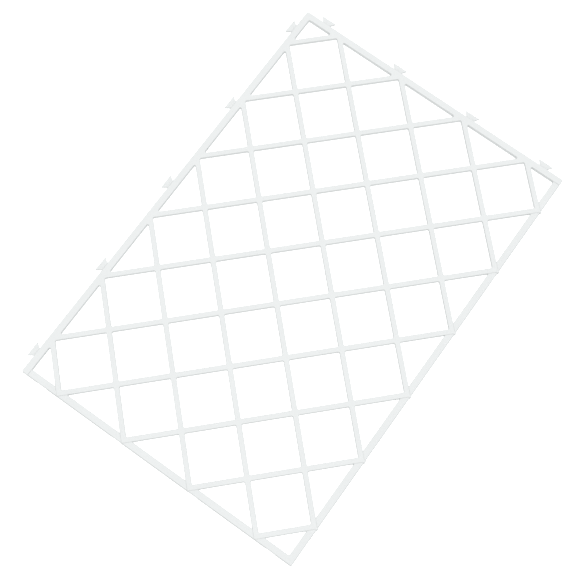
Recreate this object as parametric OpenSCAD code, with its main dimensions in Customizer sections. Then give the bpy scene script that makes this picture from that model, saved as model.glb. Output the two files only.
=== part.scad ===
// Interlocking lattice panel.
// A rectangular rim carries a diamond lattice of slim bars. Two neighbouring edges of the rim
// have dovetail tabs, and the other two have matching sockets in their underside, so that panels
// link in both directions by dropping a socket rail over the next panel's tabs.
// The panel lies flat: +Z is up and +Y runs along the long side. The origin is on the resting
// plane, under the middle of the whole outline, with the tabs and nibs counted in.

/* [Rim] */
// Outer size of the rim along X
panel_w = 400; // [320:10:500]
// Outer size of the rim along Y
panel_l = 600; // [480:10:750]
// Width of each rail of the rim, seen from above
rail_w = 9.2; // [8.8:0.1:10]
// Height of the two rails that carry the tabs
rail_h = 6; // [5.8:0.1:8]
// How much lower the two socket rails are than the lattice and the tab rails
socket_rail_drop = 0.6; // [0.3:0.1:0.8]
// Bevel on the top edges of the rails
rail_bevel = 0.6; // [0.3:0.1:1]
// Bevel on the outer top edge of the socket rails
socket_rail_bevel = 1.2; // [0.8:0.1:1.4]

/* [Lattice] */
// Diamond cells across the short side
cells_w = 4; // [3:1:5]
// Diamond cells along the long side
cells_l = 6; // [5:1:7]
// Width of each lattice bar
bar_w = 7; // [6.2:0.1:7.4]
// Thickness of each lattice bar, measured down from the top of the tab rails
bar_t = 4.4; // [3.5:0.1:4.8]
// Bevel on both top edges of each bar
bar_bevel = 1.1; // [0.5:0.1:1.4]
// How far the nibs stand out of the long socket rail, one at each point of the lattice
nib_out = 1.2; // [0.4:0.1:1.5]
// Diameter of each nib, seen from above
nib_d = 4; // [3:0.5:6]

/* [Dovetails] */
// Number of tabs on the long edge
long_tabs = 5; // [3:1:6]
// Number of tabs on the short edge
short_tabs = 4; // [3:1:5]
// Distance from the end of an edge to its first tab
tab_inset = 30; // [25:1:40]
// Width of a tab at its outer end
tab_w = 21; // [18:0.5:23]
// Width of a tab where it leaves the rail
tab_neck = 9.6; // [8:0.2:11]
// How far a tab stands out from the rail
tab_h = 7.4; // [6:0.1:7.6]
// Height of the underside of a tab over the resting plane
tab_z = 1; // [0.6:0.1:1.2]
// Thickness of a tab
tab_t = 2.6; // [2:0.1:3]
// Radius of the hollow corner at the root of a tab
tab_root_r = 1.2; // [0.6:0.1:1.5]
// Clearance around a tab inside its socket
fit_gap = 0.3; // [0.2:0.05:0.4]

/* [Hidden] */
$fn = 48;
PLASTIC = [0.94, 0.95, 0.96];
OVER = 1;                                     // how far a cut runs past a face

// Pitch of the lattice, measured between the centrelines of opposite rails
pitch_w = (panel_w - rail_w) / cells_w;
pitch_l = (panel_l - rail_w) / cells_l;
bar_count = cells_w + cells_l;                // bars in each of the two directions
lattice_z = rail_h - bar_t;                   // underside of the bars
lap_z = rail_h - bar_t / 2;                   // level at which crossing bars meet
socket_rail_h = rail_h - socket_rail_drop;

// The shift that brings the middle of the whole outline to the origin
shift = [(tab_h - nib_out) / 2, -tab_h / 2, 0];

// Socket: as wide at its mouth as the tab is just past its rounded root
mouth_reach = nib_out + tab_root_r;
socket_mouth = tab_neck + (tab_w - tab_neck) * mouth_reach / tab_h + 2 * fit_gap;
socket_w = tab_w + 2 * fit_gap;
socket_depth = tab_h + fit_gap;
socket_t = tab_z + tab_t + fit_gap;           // height of the sockets' roof

// Edges in turn round the rim, each with its start corner and its heading
SHORT_SOCKET = 0;
LONG_SOCKET = 1;
SHORT_TAB = 2;
LONG_TAB = 3;
CORNERS = [[-1, -1], [1, -1], [1, 1], [-1, 1]];

// How a rail ends: distance from the corner at the outer face and at the inner face
MITRE = [0, rail_w];
BUTT = [rail_w, rail_w];
FULL = [0, 0];

function two_digits(n) = n < 10 ? str("0", n) : str(n);
function edge_length(edge) = edge % 2 == 0 ? panel_w : panel_l;
function tab_count(edge) = edge % 2 == 0 ? short_tabs : long_tabs;

// Distance of tab or socket i from the end of its edge, counted towards +X or +Y
function tab_place(edge, i) =
    tab_inset + i * (edge_length(edge) - 2 * tab_inset) / (tab_count(edge) - 1);

// Point of the lattice grid, counted in pitches from the -X -Y corner of the rail centrelines
function grid(i, j) = [(i - cells_w / 2) * pitch_w, (j - cells_l / 2) * pitch_l];

// Ends of bar k: rising bars keep i - j constant, and falling bars keep i + j constant
function rising_from(k) = grid(max(0, k + 0.5 - cells_l), max(0, cells_l - k - 0.5));
function rising_to(k) = grid(min(cells_w, k + 0.5), min(cells_l, bar_count - k - 0.5));
function falling_from(k) = grid(max(0, k + 0.5 - cells_l), min(cells_l, k + 0.5));
function falling_to(k) = grid(min(cells_w, k + 0.5), max(0, k + 0.5 - cells_w));

// Lays a child drawn along +X, with the outside of the rim on its -Y side, on one edge
module on_edge(edge) {
    corner = CORNERS[edge];
    translate([corner.x * panel_w / 2, corner.y * panel_l / 2, 0])
        rotate([0, 0, 90 * edge])
            children();
}

// Lays a child on an edge at a distance from its end on the -X or -Y side
module along_edge(edge, place) {
    on_edge(edge)
        translate([edge < 2 ? place : edge_length(edge) - place, 0, 0])
            children();
}

// Carries an outline in Y and Z along +X
module prism(length) {
    rotate([90, 0, 90])
        linear_extrude(length)
            children();
}

// Outline of a rail: outer face at zero, with its two top edges bevelled
module rail_outline(height, outer_bevel, inner_bevel) {
    polygon([
        [0, 0],
        [rail_w, 0],
        [rail_w, height - inner_bevel],
        [rail_w - inner_bevel, height],
        [outer_bevel, height],
        [0, height - outer_bevel]
    ]);
}

// Footprint of one rail with its two ends cut as given, as a block
module rail_block(edge, start, end) {
    length = edge_length(edge);
    on_edge(edge)
        linear_extrude(rail_h)
            polygon([
                [start[0], 0],
                [length - end[0], 0],
                [length - end[1], rail_w],
                [start[1], rail_w]
            ]);
}

// One rail of the rim, before its sockets are cut
module rail(edge, start, end, height, outer_bevel) {
    intersection() {
        on_edge(edge)
            prism(edge_length(edge))
                rail_outline(height, outer_bevel, rail_bevel);
        rail_block(edge, start, end);
    }
}

// Outline of a bar between two levels; the bevels are on its top edges
module bar_outline(low, high) {
    half = bar_w / 2;
    bevel = high == rail_h ? bar_bevel : 0;
    polygon([
        [-half, low],
        [half, low],
        [half, high - bevel],
        [half - bevel, high],
        [bevel - half, high],
        [-half, high - bevel]
    ]);
}

// Bar between two grid points, run on past both of them, between two levels
module bar(from, to, past, low, high) {
    run = to - from;
    translate([from.x, from.y, 0])
        rotate([0, 0, atan2(run.y, run.x)])
            translate([-past, 0, 0])
                prism(norm(run) + 2 * past)
                    bar_outline(low, high);
}

module rising_bars(past, low, high) {
    for (k = [0:bar_count - 1])
        bar(rising_from(k), rising_to(k), past, low, high);
}

module falling_bars(past, low, high) {
    for (k = [0:bar_count - 1])
        bar(falling_from(k), falling_to(k), past, low, high);
}

// The clear space inside the rim, which trims the bars where they meet the rails
module inside_rim() {
    translate([rail_w - panel_w / 2, rail_w - panel_l / 2, 0])
        cube([panel_w - 2 * rail_w, panel_l - 2 * rail_w, rail_h]);
}

// A rising bar, notched from below so that it laps over the falling bars
module rising_bar(k) {
    color(PLASTIC)
        translate(shift)
            difference() {
                intersection() {
                    bar(rising_from(k), rising_to(k), bar_w, lattice_z, rail_h);
                    inside_rim();
                }
                falling_bars(bar_w, lattice_z - OVER, lap_z);
            }
}

// A falling bar, notched from above for the rising bars that lap over it
module falling_bar(k) {
    color(PLASTIC)
        translate(shift)
            difference() {
                intersection() {
                    bar(falling_from(k), falling_to(k), bar_w, lattice_z, rail_h);
                    inside_rim();
                }
                rising_bars(bar_w, lap_z, rail_h);
            }
}

// The points of the lattice, raised over a socket rail level with the bars
module lattice_points(edge, start, end) {
    intersection() {
        union() {
            rising_bars(bar_w / 2, lattice_z, rail_h);
            falling_bars(bar_w / 2, lattice_z, rail_h);
        }
        rail_block(edge, start, end);
    }
}

// Round nibs on the outer face of the long socket rail
module nibs() {
    for (j = [0:cells_l - 1])
        translate(grid(cells_w, j + 0.5))
            translate([rail_w / 2 + nib_out - nib_d / 2, 0, lattice_z])
                cylinder(d = nib_d, h = bar_t);
}

// Dovetail recess in the underside of a socket rail
module socket() {
    translate([0, 0, -OVER])
        linear_extrude(socket_t + OVER)
            polygon([
                [-socket_mouth / 2, -2 * nib_out],
                [socket_mouth / 2, -2 * nib_out],
                [socket_mouth / 2, 0],
                [socket_w / 2, socket_depth],
                [-socket_w / 2, socket_depth],
                [-socket_mouth / 2, 0]
            ]);
}

module sockets(edge) {
    for (i = [0:tab_count(edge) - 1])
        along_edge(edge, tab_place(edge, i))
            socket();
}

module long_tab_rail() {
    color(PLASTIC)
        translate(shift)
            rail(LONG_TAB, MITRE, FULL, rail_h, rail_bevel);
}

module short_tab_rail() {
    color(PLASTIC)
        translate(shift)
            rail(SHORT_TAB, FULL, MITRE, rail_h, rail_bevel);
}

module long_socket_rail() {
    color(PLASTIC)
        translate(shift)
            difference() {
                union() {
                    rail(LONG_SOCKET, MITRE, BUTT, socket_rail_h, socket_rail_bevel);
                    lattice_points(LONG_SOCKET, MITRE, BUTT);
                    nibs();
                }
                sockets(LONG_SOCKET);
            }
}

module short_socket_rail() {
    color(PLASTIC)
        translate(shift)
            difference() {
                union() {
                    rail(SHORT_SOCKET, BUTT, MITRE, socket_rail_h, socket_rail_bevel);
                    lattice_points(SHORT_SOCKET, BUTT, MITRE);
                }
                sockets(SHORT_SOCKET);
            }
}

// Hollow corner between a tab's flank and the rail, on the +X side of the tab
module tab_root() {
    flank = atan2(tab_h, (tab_w - tab_neck) / 2);
    tangent = tab_root_r / tan(flank / 2);
    translate([tab_neck / 2, 0])
        difference() {
            polygon([
                [-tab_neck / 4, 0],
                [tangent, 0],
                [tangent * cos(flank), tangent * sin(flank)],
                [0, tangent * sin(flank)]
            ]);
            translate([tangent, tab_root_r])
                circle(tab_root_r);
        }
}

// Outline of a tab that stands out towards +Y
module tab_outline() {
    polygon([[-tab_neck / 2, 0], [tab_neck / 2, 0], [tab_w / 2, tab_h], [-tab_w / 2, tab_h]]);
    tab_root();
    mirror([1, 0])
        tab_root();
}

module dovetail_tab(edge, i) {
    color(PLASTIC)
        translate(shift)
            along_edge(edge, tab_place(edge, i))
                translate([0, 0, tab_z])
                    mirror([0, 1, 0])
                        linear_extrude(tab_t)
                            tab_outline();
}

long_tab_rail();
short_tab_rail();
long_socket_rail();
short_socket_rail();
for (k = [0:bar_count - 1])
    rising_bar(k);
for (k = [0:bar_count - 1])
    falling_bar(k);
for (i = [0:long_tabs - 1])
    dovetail_tab(LONG_TAB, i);
for (i = [0:short_tabs - 1])
    dovetail_tab(SHORT_TAB, i);
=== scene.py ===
"""Looks of the interlocking lattice panel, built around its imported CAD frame.

Each CAD node gets one moulded piece, with the rounded edges and fillets that the CAD solids leave
out. Pieces end on the same flat cuts as their neighbours, where the section doesn't change, so the
panel looks like the single moulding that it is. Shapes are worked out in millimetres in the row
frame and turned into metres when a mesh is made.
"""

import math
from collections import namedtuple

import bmesh
import bpy
from mathutils import Matrix, Vector


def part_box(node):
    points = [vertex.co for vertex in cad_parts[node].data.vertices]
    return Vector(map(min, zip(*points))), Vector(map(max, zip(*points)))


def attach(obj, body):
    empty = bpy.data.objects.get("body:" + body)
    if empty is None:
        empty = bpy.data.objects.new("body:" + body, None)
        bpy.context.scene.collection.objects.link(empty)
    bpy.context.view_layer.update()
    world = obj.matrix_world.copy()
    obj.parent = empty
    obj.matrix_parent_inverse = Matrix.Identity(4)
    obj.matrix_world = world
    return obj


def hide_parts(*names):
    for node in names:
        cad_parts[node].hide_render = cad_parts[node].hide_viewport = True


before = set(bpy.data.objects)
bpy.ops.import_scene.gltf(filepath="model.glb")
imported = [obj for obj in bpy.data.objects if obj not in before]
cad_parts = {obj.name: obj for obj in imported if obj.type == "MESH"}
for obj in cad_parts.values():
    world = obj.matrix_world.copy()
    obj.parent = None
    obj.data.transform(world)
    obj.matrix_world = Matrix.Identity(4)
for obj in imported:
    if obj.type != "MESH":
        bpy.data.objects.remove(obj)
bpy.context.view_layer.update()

MM = 0.001
BODY = "root"

# The lattice
CELLS_W = 4
CELLS_L = 6
BAR_COUNT = CELLS_W + CELLS_L
BAR_W = 7.0
BAR_HALF = BAR_W / 2
STUB = 5.3               # from a crossing's middle to the cuts through its four arms
RAIL_STUB = 14.0         # from a lattice point on a rail to the cuts through its two arms

# The rails, the tabs and their sockets
SOCKET_RAIL_DROP = 0.6
NIB_W = 4.0
LONG_TABS = 5
SHORT_TABS = 4
TAB_INSET = 30.0
TAB_NECK = 9.6
FIT_GAP = 0.3

# Rounded edges and fillets
TOP_R = 0.9              # top edges of the bars and the tab rails
SOCKET_OUTER_R = 1.2     # outer top edge of the socket rails
SOCKET_INNER_R = 0.7     # inner top edge of the socket rails
FOOT_R = 0.3             # edges on the resting plane
CORNER_R = 1.6           # outer corners of the rim, seen from above
RIM_FILLET = 1.5         # inner corners of the rim
CROSSING_FILLET = 1.5    # corners where bars cross
CROTCH_FILLET = 1.5      # between two bars that meet on a rail
ROOT_FILLET = 1.2        # where a bar or a tab leaves a rail
TIP_R = 1.4              # lattice points over the short socket rail
NIB_R = 1.5              # corners of the nibs
PLATE_HOLD = 0.7         # how far the low parts of a lattice plate reach into its rail
PLATE_SINK = 0.2         # how far a plate's foot lies below the middle of the sockets' roof
SOCKET_FILLET = 0.5      # inner corners of the sockets
TAB_CORNER_R = 0.25      # outer corners of the tabs
TAB_TOP_R = 0.3
TAB_FOOT_R = 0.2
ROOT_EMBED = 0.8         # how far a tab's root runs into its rail
ROOT_MARGIN = 0.2        # straight stretch past the end of a tab's root fillet
ARC_STEP = 15.0          # degrees turned by one chord of a fillet
ROUND_STEPS = 4          # chords in a rounded edge
SHARP_ANGLE = 38.0       # a fold steeper than this is shaded as an edge
WELD = 0.003             # points closer than this are one vertex
TOUCH = 0.0001           # how far a point may lie past a face and still be on it
PARALLEL = 1e-6          # sine of the turn below which two edges are one straight line

# Colours of the plastic on its faces, and the painted shade along its rounded edges
FACE_DARK = (0.785, 0.797, 0.797, 1)
FACE_LIGHT = (0.83, 0.842, 0.842, 1)
# Painted shade: the rounded edges are coloured greyer than the faces, as if they lay in shade
EDGE_SHADE_DARK = (0.65, 0.662, 0.66, 1)
EDGE_SHADE_LIGHT = (0.71, 0.722, 0.72, 1)
EDGE_SHADE_STOPS = (0.02, 0.12, 0.88, 0.98)    # upward lean at which the painted edge shade comes and goes
EDGE_SHADE_OFF = (0, 0, 0, 1)
EDGE_SHADE_ON = (1, 1, 1, 1)

# Surface of the plastic
PLASTIC_IOR = 1.49
PLASTIC_SPECULAR = 0.25
ROUGHNESS_LOW = 0.42
ROUGHNESS_HIGH = 0.58
CLOUD_SCALE = 22.0       # flow clouds in the colour
GLOSS_SCALE = 160.0      # patches of gloss
GRAIN_SCALE = 2600.0     # spark-eroded grain
GRAIN_STRENGTH = 0.18
GRAIN_DEPTH = 0.00006

# Floor and light
FLOOR_COLOUR = (0.9, 0.9, 0.9, 1)
FLOOR_ROUGHNESS = 0.9
FLOOR_GLOW = 0.75
FLOOR_REACH = 6.0
FLOOR_Z = -0.00005       # just clear of the rails' feet
WORLD_COLOUR = (0.985, 1, 1, 1)
WORLD_STRENGTH = 0.82
SUN_STRENGTH = 0.75
SUN_ANGLE = 60.0

# Camera, measured from the middle of the rim at half the height of the bars
CAMERA_AIM = (0.0027, -0.0248)
CAMERA_DISTANCE = 1.8095
CAMERA_ELEVATION = 73.07
CAMERA_AZIMUTH = -62.2
CAMERA_ROLL = -36.84
CAMERA_LENS = 90.66
CAMERA_SENSOR = 36.0

# Names of an outline's edges, which say how its levels move them inwards
FREE = "free"
OUTER = "outer"          # on the outer side of the rim, which may be rounded more than the rest
CUT = "cut"              # shared with a neighbouring piece, so never moved
ARM_END = 2              # the edge of a run past a crossing that lies across the arm's end

# Inputs and outputs of a Mix node that mixes colours
MIX_FACTOR = 0
MIX_LOW = 6
MIX_HIGH = 7
MIX_RESULT = 2

Corner = namedtuple("Corner", "x y radius side")
Level = namedtuple("Level", "z inset")
Edge = namedtuple("Edge", "corner along inward length tabs")


def corner(x, y, radius=0.0, side=FREE):
    """A point of an outline, its fillet radius, and the name of the edge that leaves it."""
    return Corner(x, y, radius, side)


def box_mm(cad_node):
    low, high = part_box(cad_node)
    return low / MM, high / MM


# Places taken from the frame, in millimetres
TAB_RAIL_LOW, TAB_RAIL_HIGH = box_mm("long_tab_rail")
LONG_TAB_LOW, LONG_TAB_HIGH = box_mm("long_edge_tab_1")
SHORT_RAIL_HIGH = box_mm("short_tab_rail")[1]
LONG_SOCKET_HIGH = box_mm("long_socket_rail")[1]
BAR_LOW = box_mm("rising_bar_01")[0]

RIM_LOW = Vector((TAB_RAIL_LOW.x, TAB_RAIL_LOW.y))
RIM_HIGH = Vector((SHORT_RAIL_HIGH.x, SHORT_RAIL_HIGH.y))
RIM_MIDDLE = (RIM_LOW + RIM_HIGH) / 2
RIM_SIZE = RIM_HIGH - RIM_LOW
RAIL_W = TAB_RAIL_HIGH.x - TAB_RAIL_LOW.x
RAIL_H = TAB_RAIL_HIGH.z
SOCKET_RAIL_H = RAIL_H - SOCKET_RAIL_DROP
LATTICE_Z = BAR_LOW.z
LAP_Z = (LATTICE_Z + RAIL_H) / 2
TAB_H = TAB_RAIL_LOW.x - LONG_TAB_LOW.x
TAB_W = LONG_TAB_HIGH.y - LONG_TAB_LOW.y
TAB_LOW_Z = LONG_TAB_LOW.z
TAB_HIGH_Z = LONG_TAB_HIGH.z
NIB_OUT = LONG_SOCKET_HIGH.x - RIM_HIGH.x

PITCH = Vector(((RIM_SIZE.x - RAIL_W) / CELLS_W, (RIM_SIZE.y - RAIL_W) / CELLS_L))
SPAN = (PITCH / 2).length    # between neighbouring crossings along a bar
RISING = (PITCH / 2).normalized()
FALLING = Vector((RISING.x, -RISING.y))

SOCKET_DEPTH = TAB_H + FIT_GAP
SOCKET_W = TAB_W + 2 * FIT_GAP
SOCKET_TOP = TAB_HIGH_Z + FIT_GAP
MOUTH_REACH = NIB_OUT + ROOT_FILLET
SOCKET_MOUTH = TAB_NECK + (TAB_W - TAB_NECK) * MOUTH_REACH / TAB_H + 2 * FIT_GAP

# The four edges in turn round the rim, anticlockwise from above
SHORT_SOCKET = Edge(RIM_LOW, Vector((1, 0)), Vector((0, 1)), RIM_SIZE.x, SHORT_TABS)
LONG_SOCKET = Edge(
    Vector((RIM_HIGH.x, RIM_LOW.y)), Vector((0, 1)), Vector((-1, 0)), RIM_SIZE.y, LONG_TABS
)
SHORT_TAB = Edge(RIM_HIGH, Vector((-1, 0)), Vector((0, -1)), RIM_SIZE.x, SHORT_TABS)
LONG_TAB = Edge(
    Vector((RIM_LOW.x, RIM_HIGH.y)), Vector((0, -1)), Vector((1, 0)), RIM_SIZE.y, LONG_TABS
)

# How a rail ends at a corner of the rim
MITRE = "mitre"
BUTT = "butt"
FULL = "full"


# ---------------------------------------------------------------- plane geometry


def left_of(direction):
    return Vector((-direction.y, direction.x))


def meet(a, along_a, b, along_b):
    """The point where two lines cross, each given by a point and a direction."""
    det = along_a.x * along_b.y - along_a.y * along_b.x
    gap = b - a
    return a + along_a * ((gap.x * along_b.y - gap.y * along_b.x) / det)


def arc(centre_x, centre_y, radius, start, end):
    """Corners on an arc, by its angles in degrees, both ends included."""
    steps = max(1, round(abs(end - start) / ARC_STEP))
    angles = [math.radians(start + (end - start) * i / steps) for i in range(steps + 1)]
    return [
        corner(centre_x + radius * math.cos(a), centre_y + radius * math.sin(a)) for a in angles
    ]


def fillet(before, point, after):
    """The arc that replaces one corner of an outline."""
    here = Vector((point.x, point.y))
    inwards = (here - Vector((before.x, before.y))).normalized()
    outwards = (Vector((after.x, after.y)) - here).normalized()
    turn = inwards.angle_signed(outwards)
    tangent = point.radius * math.tan(abs(turn) / 2)
    steps = max(2, round(math.degrees(abs(turn)) / ARC_STEP))
    first = here - inwards * tangent
    hand = -1 if turn > 0 else 1
    centre = first + left_of(inwards) * hand * point.radius
    start = math.atan2(first.y - centre.y, first.x - centre.x)
    angles = [start - turn * i / steps for i in range(steps + 1)]
    return [
        corner(
            centre.x + point.radius * math.cos(a),
            centre.y + point.radius * math.sin(a),
            side=point.side,
        )
        for a in angles
    ]


def soften(outline):
    """The closed outline with each corner that has a radius turned into an arc."""
    soft = []
    for i, point in enumerate(outline):
        if point.radius:
            soft += fillet(outline[i - 1], point, outline[(i + 1) % len(outline)])
        else:
            soft.append(point)
    return soft


def inset_point(before, point, after, inset):
    """The point moved into an anticlockwise outline, by the amounts that its two edges give."""
    here = Vector((point.x, point.y))
    n1 = left_of((here - Vector((before.x, before.y))).normalized())
    n2 = left_of((Vector((after.x, after.y)) - here).normalized())
    s1, s2 = inset[before.side], inset[point.side]
    det = n1.x * n2.y - n1.y * n2.x
    if abs(det) < PARALLEL:
        return here + n1 * max(s1, s2)
    return here + Vector((s1 * n2.y - s2 * n1.y, s2 * n1.x - s1 * n2.x)) / det


# ---------------------------------------------------------------- meshes


def level(z, free=0.0, outer=None):
    """A height, and how far inwards it moves each kind of edge."""
    return Level(z, {FREE: free, OUTER: free if outer is None else outer, CUT: 0.0})


def rounded_top(z, radius, outer_radius=None):
    """Levels of a rounded top edge, from its foot up to z."""
    outer_radius = radius if outer_radius is None else outer_radius
    deepest = max(radius, outer_radius)
    levels = []
    for i in range(ROUND_STEPS + 1):
        angle = math.pi / 2 * i / ROUND_STEPS
        drop = deepest * (1 - math.sin(angle))
        levels.append(level(z - drop, round_inset(radius, drop), round_inset(outer_radius, drop)))
    return levels


def round_inset(radius, drop):
    """How far a rounded edge lies inside its outline, at a drop below its top."""
    if drop >= radius:
        return 0.0
    return radius - math.sqrt(radius**2 - (radius - drop) ** 2)


def rounded_foot(z, radius):
    """Levels of a rounded bottom edge, from z up to its head."""
    top = rounded_top(0.0, radius)
    return [Level(z - step.z, step.inset) for step in reversed(top)]


class Shell:
    """Collects the faces of one closed mesh, in millimetres, and welds them together."""

    def __init__(self, to_frame=None):
        self.points = []
        self.faces = []
        self.to_frame = to_frame or (lambda p: p)

    def ring(self, outline, at):
        """The outline's vertices at one level, inset as the level says."""
        first = len(self.points)
        for i, point in enumerate(outline):
            after = outline[(i + 1) % len(outline)]
            place = self.to_frame(inset_point(outline[i - 1], point, after, at.inset))
            self.points.append((place.x * MM, place.y * MM, at.z * MM))
        return list(range(first, len(self.points)))

    def prism(self, outline, levels, floor=True, roof=True):
        """Walls through the levels, from the lowest up, with or without their two end faces."""
        rings = [self.ring(outline, at) for at in levels]
        for low, high in zip(rings, rings[1:]):
            for i in range(len(outline)):
                j = (i + 1) % len(outline)
                self.faces.append([low[i], low[j], high[j], high[i]])
        if floor:
            self.faces.append(rings[0][::-1])
        if roof:
            self.faces.append(rings[-1])

    def flat(self, outline, z, up):
        """A flat face at one level."""
        ring = self.ring(outline, level(z))
        self.faces.append(ring if up else ring[::-1])

    def mesh(self, name):
        mesh = bpy.data.meshes.new(name)
        mesh.from_pydata(self.points, [], self.faces)
        solid = bmesh.new()
        solid.from_mesh(mesh)
        bmesh.ops.remove_doubles(solid, verts=solid.verts, dist=WELD * MM)
        solid.to_mesh(mesh)
        solid.free()
        return mesh


def on_edge(edge):
    """Turns a point along an edge and inwards from it into a point of the row frame."""
    return lambda p: edge.corner + edge.along * p.x + edge.inward * p.y


# ---------------------------------------------------------------- material


def node(tree, kind, **values):
    """A new shader node, with constants on the inputs that are named."""
    made = tree.nodes.new(kind)
    for name, value in values.items():
        made.inputs[name.replace("_", " ")].default_value = value
    return made


def mixer(tree, factor):
    """A node that mixes two colours, by a factor from another node."""
    mix = tree.nodes.new("ShaderNodeMix")
    mix.data_type = "RGBA"
    tree.links.new(factor, mix.inputs[MIX_FACTOR])
    return mix


def blend_colours(tree, factor, low, high):
    mix = mixer(tree, factor)
    mix.inputs[MIX_LOW].default_value = low
    mix.inputs[MIX_HIGH].default_value = high
    return mix.outputs[MIX_RESULT]


# Painted shade: a mask over the surface's upward lean that greys the rounded edges
def edge_shade_factor(tree, normal):
    """1 on the rounded edges, which get a faint grey line of painted shade, and 0 on faces up, down
    and aside.
    """
    axes = tree.nodes.new("ShaderNodeSeparateXYZ")
    tree.links.new(normal, axes.inputs[0])
    ramp = tree.nodes.new("ShaderNodeValToRGB")
    stops = ramp.color_ramp.elements
    stops[0].position = EDGE_SHADE_STOPS[0]
    stops[0].color = EDGE_SHADE_OFF
    stops[1].position = EDGE_SHADE_STOPS[3]
    stops[1].color = EDGE_SHADE_OFF
    for position in EDGE_SHADE_STOPS[1:3]:
        stops.new(position).color = EDGE_SHADE_ON
    tree.links.new(axes.outputs["Z"], ramp.inputs["Fac"])
    return ramp.outputs["Color"]


def plastic_colour_with_edge_shade(tree, place, normal):
    """White with soft flow clouds, and painted shade that greys the rounded edges."""
    clouds = node(tree, "ShaderNodeTexNoise", Scale=CLOUD_SCALE, Detail=4.0, Roughness=0.55)
    tree.links.new(place, clouds.inputs["Vector"])
    faces = blend_colours(tree, clouds.outputs["Fac"], FACE_DARK, FACE_LIGHT)
    # Painted shade: the darker grey laid along the rounded edges
    edges = blend_colours(tree, clouds.outputs["Fac"], EDGE_SHADE_DARK, EDGE_SHADE_LIGHT)
    colour = mixer(tree, edge_shade_factor(tree, normal))
    tree.links.new(faces, colour.inputs[MIX_LOW])
    tree.links.new(edges, colour.inputs[MIX_HIGH])
    return colour.outputs[MIX_RESULT]


def uneven_gloss(tree, place):
    gloss = node(tree, "ShaderNodeTexNoise", Scale=GLOSS_SCALE, Detail=3.0, Roughness=0.6)
    tree.links.new(place, gloss.inputs["Vector"])
    rough = tree.nodes.new("ShaderNodeMapRange")
    rough.inputs["To Min"].default_value = ROUGHNESS_LOW
    rough.inputs["To Max"].default_value = ROUGHNESS_HIGH
    tree.links.new(gloss.outputs["Fac"], rough.inputs["Value"])
    return rough.outputs["Result"]


def fine_grain(tree, place):
    grain = node(tree, "ShaderNodeTexNoise", Scale=GRAIN_SCALE, Detail=2.0, Roughness=0.5)
    tree.links.new(place, grain.inputs["Vector"])
    bump = node(tree, "ShaderNodeBump", Strength=GRAIN_STRENGTH, Distance=GRAIN_DEPTH)
    tree.links.new(grain.outputs["Fac"], bump.inputs["Height"])
    return bump.outputs["Normal"]


def moulded_plastic():
    """Satin white polypropylene: soft flow clouds, a fine spark-eroded grain, uneven gloss, and
    painted shade along the rounded edges.
    """
    material = bpy.data.materials.new("satin_white_polypropylene_with_painted_edge_shade")
    material.use_nodes = True
    tree = material.node_tree
    shader = tree.nodes["Principled BSDF"]
    shader.inputs["IOR"].default_value = PLASTIC_IOR
    shader.inputs["Specular IOR Level"].default_value = PLASTIC_SPECULAR
    coordinates = tree.nodes.new("ShaderNodeTexCoord")
    place = coordinates.outputs["Object"]
    colour = plastic_colour_with_edge_shade(tree, place, coordinates.outputs["Normal"])
    tree.links.new(colour, shader.inputs["Base Color"])
    tree.links.new(uneven_gloss(tree, place), shader.inputs["Roughness"])
    tree.links.new(fine_grain(tree, place), shader.inputs["Normal"])
    return material


PLASTIC = moulded_plastic()


def add_piece(cad_node, mesh):
    """Shows a mesh in place of a CAD node, shaded smooth over its rounded edges."""
    mesh.name = cad_node + "_moulded"
    piece = bpy.data.objects.new(cad_node + "_moulded", mesh)
    bpy.context.scene.collection.objects.link(piece)
    mesh.materials.clear()
    mesh.materials.append(PLASTIC)
    mesh.shade_smooth()
    mesh.set_sharp_from_angle(angle=math.radians(SHARP_ANGLE))
    normals = piece.modifiers.new("flat faces stay flat", "WEIGHTED_NORMAL")
    normals.keep_sharp = True
    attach(piece, BODY)
    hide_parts(cad_node)
    return piece


# ---------------------------------------------------------------- lattice bars


def lattice_point(i, j):
    """A point of the lattice, counted in pitches from the rim's corner of lowest X and Y."""
    offset = Vector(((i - CELLS_W / 2) * PITCH.x, (j - CELLS_L / 2) * PITCH.y))
    return RIM_MIDDLE + offset


def rising_ends(k):
    """The lattice points on the rails where a bar that runs towards +X and +Y starts and ends."""
    start = lattice_point(max(0, k + 0.5 - CELLS_L), max(0, CELLS_L - k - 0.5))
    end = lattice_point(min(CELLS_W, k + 0.5), min(CELLS_L, BAR_COUNT - k - 0.5))
    return start, end


def falling_ends(k):
    """The lattice points on the rails where a bar that runs towards +X and -Y starts and ends."""
    start = lattice_point(max(0, k + 0.5 - CELLS_L), min(CELLS_L, k + 0.5))
    end = lattice_point(min(CELLS_W, k + 0.5), max(0, k + 0.5 - CELLS_W))
    return start, end


def arm_side(middle, along, across, hand):
    """One side of a bar past a crossing: out along the crossing bar's arm, round it and back.

    along is the bar's direction and across is the crossing bar's, pointing to the side that hand
    names: 1 for the left of the bar and -1 for its right."""
    side = left_of(along) * hand * BAR_HALF
    near = left_of(across) * hand * BAR_HALF
    arm_end = middle + across * STUB
    first = middle - along * STUB + side
    near_corner = meet(first, along, arm_end + near, across)
    far_corner = meet(first, along, arm_end - near, across)
    last = middle + along * STUB + side
    return [
        corner(first.x, first.y),
        corner(near_corner.x, near_corner.y, CROSSING_FILLET),
        corner(arm_end.x + near.x, arm_end.y + near.y),
        corner(arm_end.x - near.x, arm_end.y - near.y),
        corner(far_corner.x, far_corner.y, CROSSING_FILLET),
        corner(last.x, last.y),
    ]


def with_side(points, index, side):
    """The points with one edge renamed."""
    named = list(points)
    named[index] = named[index]._replace(side=side)
    return named


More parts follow.
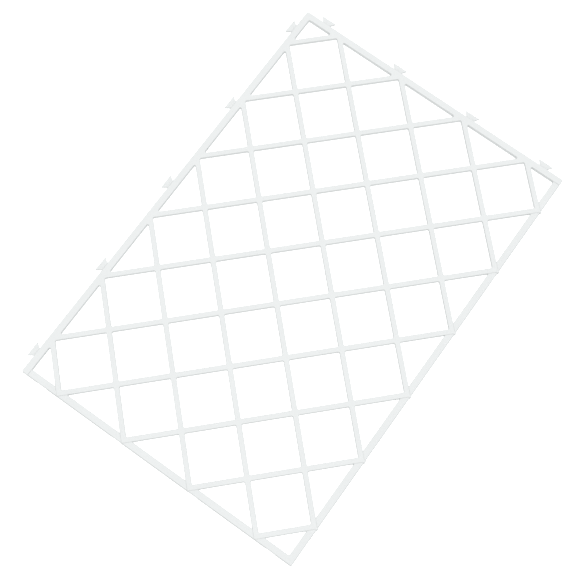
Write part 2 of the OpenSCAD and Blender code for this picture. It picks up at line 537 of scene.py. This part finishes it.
def bar_sides(start, end, across):
    """The right and the left side of a bar, both in its own direction, as runs past crossings."""
    along = (end - start).normalized()
    spans = round((end - start).length / SPAN)
    to_left = across if left_of(along).dot(across) > 0 else -across
    middles = [start + along * SPAN * i for i in range(1, spans)]
    right = [arm_side(m, along, -to_left, -1) for m in middles]
    left = [arm_side(m, along, to_left, 1) for m in middles]
    return right, left


def cut_across(place, along):
    """The two ends of a cut straight across a bar: right, then left."""
    side = left_of(along) * BAR_HALF
    return place - side, place + side


def through_layer(first, last, right, left):
    """The outline of the layer that runs through the crossings, with an arm to each side."""
    outline = [corner(first[0].x, first[0].y)]
    for run in right:
        outline += with_side(run, ARM_END, CUT)
    outline += [corner(last[0].x, last[0].y, side=CUT), corner(last[1].x, last[1].y)]
    for run in reversed(left):
        outline += with_side(run[::-1], ARM_END, CUT)
    outline += [corner(first[1].x, first[1].y, side=CUT)]
    return soften(outline)


def run_ends(runs):
    """The two end points of each run past a crossing."""
    return [Vector(point[:2]) for run in runs for point in (run[0], run[-1])]


def cut_layer(first, last, right, left):
    """The outlines of the layer that stops at the cuts on both sides of each crossing."""
    rights = [first[0]] + run_ends(right) + [last[0]]
    lefts = [first[1]] + run_ends(left) + [last[1]]
    outlines = []
    for i in range(0, len(rights), 2):
        a, b, c, d = rights[i], rights[i + 1], lefts[i + 1], lefts[i]
        outlines.append(
            [
                corner(a.x, a.y),
                corner(b.x, b.y, side=CUT),
                corner(c.x, c.y),
                corner(d.x, d.y, side=CUT),
            ]
        )
    return outlines


def bar_piece(start, end, across, over):
    """A bar between two rails. over says that it owns the upper half of each crossing."""
    along = (end - start).normalized()
    right, left = bar_sides(start, end, across)
    first = cut_across(start + along * RAIL_STUB, along)
    last = cut_across(end - along * RAIL_STUB, along)
    whole = through_layer(first, last, right, left)
    parts = cut_layer(first, last, right, left)
    plain_low = [level(LATTICE_Z), level(LAP_Z)]
    round_high = [level(LAP_Z)] + rounded_top(RAIL_H, TOP_R)
    shell = Shell()
    if over:
        shell.prism(whole, round_high, floor=False)
        for part in parts:
            shell.prism(part, plain_low, roof=False)
    else:
        shell.prism(whole, plain_low, roof=False)
        for part in parts:
            shell.prism(part, round_high, floor=False)
    for run, other in zip(right, left):
        shell.flat(soften_open(run) + soften_open(other)[::-1], LAP_Z, up=not over)
    return shell


def soften_open(run):
    """A run of points with its corners turned into arcs, and its two ends left where they are."""
    soft = [run[0]]
    for before, point, after in zip(run, run[1:], run[2:]):
        soft += fillet(before, point, after) if point.radius else [point]
    return soft + [run[-1]]


def add_bars():
    for k in range(BAR_COUNT):
        number = f"{k + 1:02d}"
        rising = bar_piece(*rising_ends(k), FALLING, over=True)
        add_piece("rising_bar_" + number, rising.mesh("bar"))
        falling = bar_piece(*falling_ends(k), RISING, over=False)
        add_piece("falling_bar_" + number, falling.mesh("bar"))


# ---------------------------------------------------------------- rails


def lattice_places(edge):
    """Distances along an edge of the lattice points on its rail."""
    pitch = abs(PITCH.dot(edge.along))
    count = round((edge.length - RAIL_W) / pitch)
    return [RAIL_W / 2 + (i + 0.5) * pitch for i in range(count)]


def tab_places(edge):
    """Distances along an edge of its tabs or sockets."""
    step = (edge.length - 2 * TAB_INSET) / (edge.tabs - 1)
    return [TAB_INSET + i * step for i in range(edge.tabs)]


def arm_lines(edge, place):
    """The lattice point at a place, and the directions of its two arms: ahead and back."""
    middle = Vector((place, RAIL_W / 2))
    ahead = Vector((abs(PITCH.dot(edge.along)), abs(PITCH.dot(edge.inward)))).normalized()
    return middle, ahead, Vector((-ahead.x, ahead.y))


def arms(edge, place):
    """The ends of the two arms and the fillet between them, from the arm ahead to the one back."""
    middle, ahead, back = arm_lines(edge, place)
    out_ahead, in_ahead = cut_across(middle + ahead * RAIL_STUB, ahead)
    in_back, out_back = cut_across(middle + back * RAIL_STUB, back)
    crotch = meet(in_ahead, ahead, in_back, back)
    return [
        corner(out_ahead.x, out_ahead.y, side=CUT),
        corner(in_ahead.x, in_ahead.y),
        corner(crotch.x, crotch.y, CROTCH_FILLET),
        corner(in_back.x, in_back.y, side=CUT),
        corner(out_back.x, out_back.y),
    ]


def rooted_arms(edge, place):
    """The two arms of a lattice point, with the fillets where they leave the rail."""
    _, ahead, back = arm_lines(edge, place)
    ends = arms(edge, place)
    face = Vector((0, RAIL_W))
    root_ahead = meet(Vector(ends[0][:2]), ahead, face, Vector((1, 0)))
    root_back = meet(Vector(ends[-1][:2]), back, face, Vector((1, 0)))
    return (
        [corner(root_ahead.x, root_ahead.y, ROOT_FILLET)]
        + ends
        + [corner(root_back.x, root_back.y, ROOT_FILLET)]
    )


def rail_start(style):
    """Corners at the start of a rail: on its inner side, and then on its outer side."""
    rim_corner = RAIL_W + RIM_FILLET
    if style == FULL:
        return [corner(0, RAIL_W)], [corner(0, 0, CORNER_R, OUTER)]
    if style == BUTT:
        inner = arc(rim_corner, rim_corner, RIM_FILLET, 270, 180)
        return with_side(inner, -1, CUT), [corner(RAIL_W, 0, side=OUTER)]
    inner = arc(rim_corner, rim_corner, RIM_FILLET, 270, 225)
    outer = [c._replace(side=OUTER) for c in arc(CORNER_R, CORNER_R, CORNER_R, 225, 270)]
    return with_side(inner, -1, CUT), outer


def rail_end(style, length):
    """Corners at the end of a rail: on its outer side, and then on its inner side.

    They mirror those at a rail's start, so the edge that leaves each corner is the one that came
    to it there."""
    inner, outer = rail_start(style)
    mirrored = [c._replace(x=length - c.x) for c in reversed(inner + outer)]
    sides = [c.side for c in reversed(inner + outer)]
    mirrored = [c._replace(side=s) for c, s in zip(mirrored, sides[1:] + [FREE])]
    return mirrored[: len(outer)], mirrored[len(outer) :]


def notch(place):
    """A dovetail recess in the outer side of a socket rail."""
    return [
        corner(place - SOCKET_MOUTH / 2, 0),
        corner(place - SOCKET_W / 2, SOCKET_DEPTH, SOCKET_FILLET),
        corner(place + SOCKET_W / 2, SOCKET_DEPTH, SOCKET_FILLET),
        corner(place + SOCKET_MOUTH / 2, 0, side=OUTER),
    ]


def tab_rail_piece(edge, start, end):
    """A rail with the arms of its lattice points, under one rounded top edge."""
    start_inner, start_outer = rail_start(start)
    end_outer, end_inner = rail_end(end, edge.length)
    outline = start_outer + end_outer + end_inner
    for place in reversed(lattice_places(edge)):
        outline += rooted_arms(edge, place)
    outline = soften(outline + start_inner)
    shell = Shell(on_edge(edge))
    plain = [c for c in outline if c.y <= RAIL_W + RIM_FILLET and not in_arm(edge, c)]
    shell.prism(plain, rounded_foot(0.0, FOOT_R) + [level(LATTICE_Z)], roof=False)
    shell.prism(outline, [level(LATTICE_Z)] + rounded_top(RAIL_H, TOP_R), floor=False)
    for run in arm_runs(edge, outline):
        shell.flat(run, LATTICE_Z, up=False)
    return shell


def in_arm(edge, c):
    """Says that a corner belongs to an arm, and lies clear of the rail's inner face."""
    reach = RAIL_STUB + BAR_W
    near = any(abs(c.x - place) < reach for place in lattice_places(edge))
    return near and c.y > RAIL_W + TOUCH


def arm_runs(edge, outline):
    """The undersides of the arms: each run of an arm's corners, with the neighbours on the rail."""
    runs = []
    inside = [in_arm(edge, c) for c in outline]
    for i in range(len(outline)):
        if inside[i] and not inside[i - 1]:
            j = i
            while inside[j % len(outline)]:
                j += 1
            runs.append([outline[n % len(outline)] for n in range(i - 1, j + 1)])
    return runs


def socket_rail_body(edge, start, end):
    """A socket rail without its lattice points: the sockets are open below and outwards."""
    start_inner, start_outer = rail_start(start)
    end_outer, end_inner = rail_end(end, edge.length)
    rest = end_outer + end_inner + start_inner
    notches = [notch(place) for place in tab_places(edge)]
    mouths = [c for cut in notches for c in (cut[0]._replace(side=OUTER), cut[-1])]
    notched = soften(start_outer + sum(notches, []) + rest)
    whole = start_outer + mouths + rest
    shell = Shell(on_edge(edge))
    shell.prism(notched, [level(0.0), level(SOCKET_TOP)], roof=False)
    top = rounded_top(SOCKET_RAIL_H, SOCKET_INNER_R, SOCKET_OUTER_R)
    shell.prism(whole, [level(SOCKET_TOP)] + top, floor=False)
    for cut in notches:
        shell.flat(soften_open(cut), SOCKET_TOP, up=False)
    return shell


def plate_sides(edge, place):
    """Points on the two outer sides of a lattice plate, just inside the rail's inner face: the one
    on the arm ahead, and the one on the arm back. Then the point where the two sides cross."""
    middle, ahead, back = arm_lines(edge, place)
    on_ahead = cut_across(middle, ahead)[0]
    on_back = cut_across(middle, back)[1]
    hold = Vector((0, RAIL_W - PLATE_HOLD))
    along = Vector((1, 0))
    point = meet(on_ahead, ahead, on_back, back)
    return meet(on_ahead, ahead, hold, along), meet(on_back, back, hold, along), point


def nib_outline(place):
    """The nib of a lattice point, cut just inside the rail's outer face."""
    low, high = place - NIB_W / 2, place + NIB_W / 2
    return [
        corner(low, PLATE_HOLD),
        corner(low, -NIB_OUT, NIB_R),
        corner(high, -NIB_OUT, NIB_R),
        corner(high, PLATE_HOLD, side=CUT),
    ]


def tip(edge, place, with_nib):
    """The outer end of a lattice plate, from the arm back to the arm ahead."""
    point = plate_sides(edge, place)[2]
    if not with_nib:
        return [corner(point.x, point.y, TIP_R)]
    _, ahead, back = arm_lines(edge, place)
    nib = with_side(nib_outline(place), -1, FREE)
    upright = Vector((0, 1))
    near = meet(point, back, Vector((nib[0].x, 0)), upright)
    far = meet(point, ahead, Vector((nib[-1].x, 0)), upright)
    return [corner(near.x, near.y)] + nib + [corner(far.x, far.y)]


def lattice_plates(edge, with_nib):
    """The lattice points of a socket rail, level with the bars.

    They stay above the sockets' roof, except for their arms and nibs, which reach down past the
    two faces of the rail to the bars' underside."""
    shell = Shell(on_edge(edge))
    foot = (SOCKET_TOP + SOCKET_RAIL_H) / 2 - PLATE_SINK
    high = [level(foot)] + rounded_top(RAIL_H, TOP_R)
    low = [level(LATTICE_Z), level(foot)]
    for place in lattice_places(edge):
        side_ahead, side_back, _ = plate_sides(edge, place)
        hold_ahead = corner(side_ahead.x, side_ahead.y)
        hold_back = corner(side_back.x, side_back.y)
        end = tip(edge, place, with_nib)
        both_arms = [hold_ahead] + arms(edge, place) + [hold_back]
        shell.prism(soften(end + both_arms), high, floor=False)
        shell.prism(soften(with_side(both_arms, -1, CUT)), low, roof=False)
        shallow = end
        if with_nib:
            shell.prism(soften(nib_outline(place)), low, roof=False)
            shallow = end[:2] + end[-2:]
        shell.flat(soften([hold_back] + shallow + [hold_ahead]), foot, up=False)
    return shell


def union(first, second):
    """The mesh that two closed meshes fill together."""
    base = bpy.data.objects.new("base", first)
    tool = bpy.data.objects.new("tool", second)
    for helper in (base, tool):
        bpy.context.scene.collection.objects.link(helper)
    boolean = base.modifiers.new("union", "BOOLEAN")
    boolean.operation = "UNION"
    boolean.solver = "EXACT"
    boolean.object = tool
    depsgraph = bpy.context.evaluated_depsgraph_get()
    joined = bpy.data.meshes.new_from_object(base.evaluated_get(depsgraph))
    for helper in (base, tool):
        bpy.data.objects.remove(helper)
    return joined


def add_rails():
    add_piece("long_tab_rail", tab_rail_piece(LONG_TAB, MITRE, FULL).mesh("rail"))
    add_piece("short_tab_rail", tab_rail_piece(SHORT_TAB, FULL, MITRE).mesh("rail"))
    body = socket_rail_body(LONG_SOCKET, MITRE, BUTT).mesh("rail")
    add_piece("long_socket_rail", union(body, lattice_plates(LONG_SOCKET, True).mesh("points")))
    body = socket_rail_body(SHORT_SOCKET, BUTT, MITRE).mesh("rail")
    add_piece("short_socket_rail", union(body, lattice_plates(SHORT_SOCKET, False).mesh("points")))


# ---------------------------------------------------------------- tabs


def tab_piece(edge, place):
    """A dovetail tab. Its root runs a little way into the rail, so that its fillets end there."""
    root = tab_root_reach()
    outline = [
        corner(place + root, ROOT_EMBED, side=CUT),
        corner(place - root, ROOT_EMBED),
        corner(place - root, 0),
        corner(place - TAB_NECK / 2, 0, ROOT_FILLET),
        corner(place - TAB_W / 2, -TAB_H, TAB_CORNER_R),
        corner(place + TAB_W / 2, -TAB_H, TAB_CORNER_R),
        corner(place + TAB_NECK / 2, 0, ROOT_FILLET),
        corner(place + root, 0),
    ]
    shell = Shell(on_edge(edge))
    levels = rounded_foot(TAB_LOW_Z, TAB_FOOT_R) + rounded_top(TAB_HIGH_Z, TAB_TOP_R)
    shell.prism(soften(outline), levels)
    return shell


def tab_root_reach():
    """Half the width of a tab on the rail's face, its root fillets included and a little more."""
    flank = math.atan2(TAB_H, (TAB_W - TAB_NECK) / 2)
    return TAB_NECK / 2 + ROOT_FILLET / math.tan(flank / 2) + ROOT_MARGIN


def add_tabs():
    for edge, name in ((LONG_TAB, "long_edge_tab_"), (SHORT_TAB, "short_edge_tab_")):
        for i, place in enumerate(tab_places(edge)):
            number = edge.tabs - i
            add_piece(name + str(number), tab_piece(edge, place).mesh("tab"))


# ---------------------------------------------------------------- stage, light and camera


def add_floor():
    material = bpy.data.materials.new("pale_floor")
    material.use_nodes = True
    shader = material.node_tree.nodes["Principled BSDF"]
    shader.inputs["Base Color"].default_value = FLOOR_COLOUR
    shader.inputs["Roughness"].default_value = FLOOR_ROUGHNESS
    shader.inputs["Emission Color"].default_value = (1, 1, 1, 1)
    shader.inputs["Emission Strength"].default_value = FLOOR_GLOW
    mesh = bpy.data.meshes.new("floor")
    signs = ((-1, -1), (1, -1), (1, 1), (-1, 1))
    corners = [(x * FLOOR_REACH, y * FLOOR_REACH, FLOOR_Z) for x, y in signs]
    mesh.from_pydata(corners, [], [(0, 1, 2, 3)])
    mesh.materials.append(material)
    floor = bpy.data.objects.new("floor", mesh)
    bpy.context.scene.collection.objects.link(floor)
    floor.visible_diffuse = False
    floor.visible_glossy = False


def add_light():
    """A bright, even surround, and a broad sun from straight above."""
    world = bpy.data.worlds.new("studio")
    world.use_nodes = True
    background = world.node_tree.nodes["Background"]
    background.inputs["Color"].default_value = WORLD_COLOUR
    background.inputs["Strength"].default_value = WORLD_STRENGTH
    bpy.context.scene.world = world
    lamp = bpy.data.lights.new("overhead", "SUN")
    lamp.energy = SUN_STRENGTH
    lamp.angle = math.radians(SUN_ANGLE)
    light = bpy.data.objects.new("overhead", lamp)
    bpy.context.scene.collection.objects.link(light)
    bpy.context.scene.view_settings.view_transform = "Standard"


def camera_axes():
    """The camera's directions in the row frame: to its right, up, and back from what it sees."""
    elevation = math.radians(CAMERA_ELEVATION)
    azimuth = math.radians(CAMERA_AZIMUTH)
    roll = math.radians(CAMERA_ROLL)
    level_part = math.cos(elevation)
    back = Vector(
        (level_part * math.cos(azimuth), level_part * math.sin(azimuth), math.sin(elevation))
    )
    forwards = -back
    upright = Vector((0, 1, 0))
    level_up = (upright - forwards * upright.dot(forwards)).normalized()
    level_right = forwards.cross(level_up)
    up = level_up * math.cos(roll) + level_right * math.sin(roll)
    return forwards.cross(up), up, back


def add_camera():
    right, up, back = camera_axes()
    aim = RIM_MIDDLE * MM + Vector(CAMERA_AIM)
    aim = Vector((aim.x, aim.y, LAP_Z * MM))
    data = bpy.data.cameras.new("camera")
    data.lens = CAMERA_LENS
    data.sensor_width = CAMERA_SENSOR
    camera = bpy.data.objects.new("camera", data)
    camera.location = aim + back * CAMERA_DISTANCE
    rows = ((right.x, up.x, back.x), (right.y, up.y, back.y), (right.z, up.z, back.z))
    camera.rotation_mode = "QUATERNION"
    camera.rotation_quaternion = Matrix(rows).to_quaternion()
    bpy.context.scene.collection.objects.link(camera)
    bpy.context.scene.camera = camera


add_bars()
add_rails()
add_tabs()
add_floor()
add_light()
add_camera()
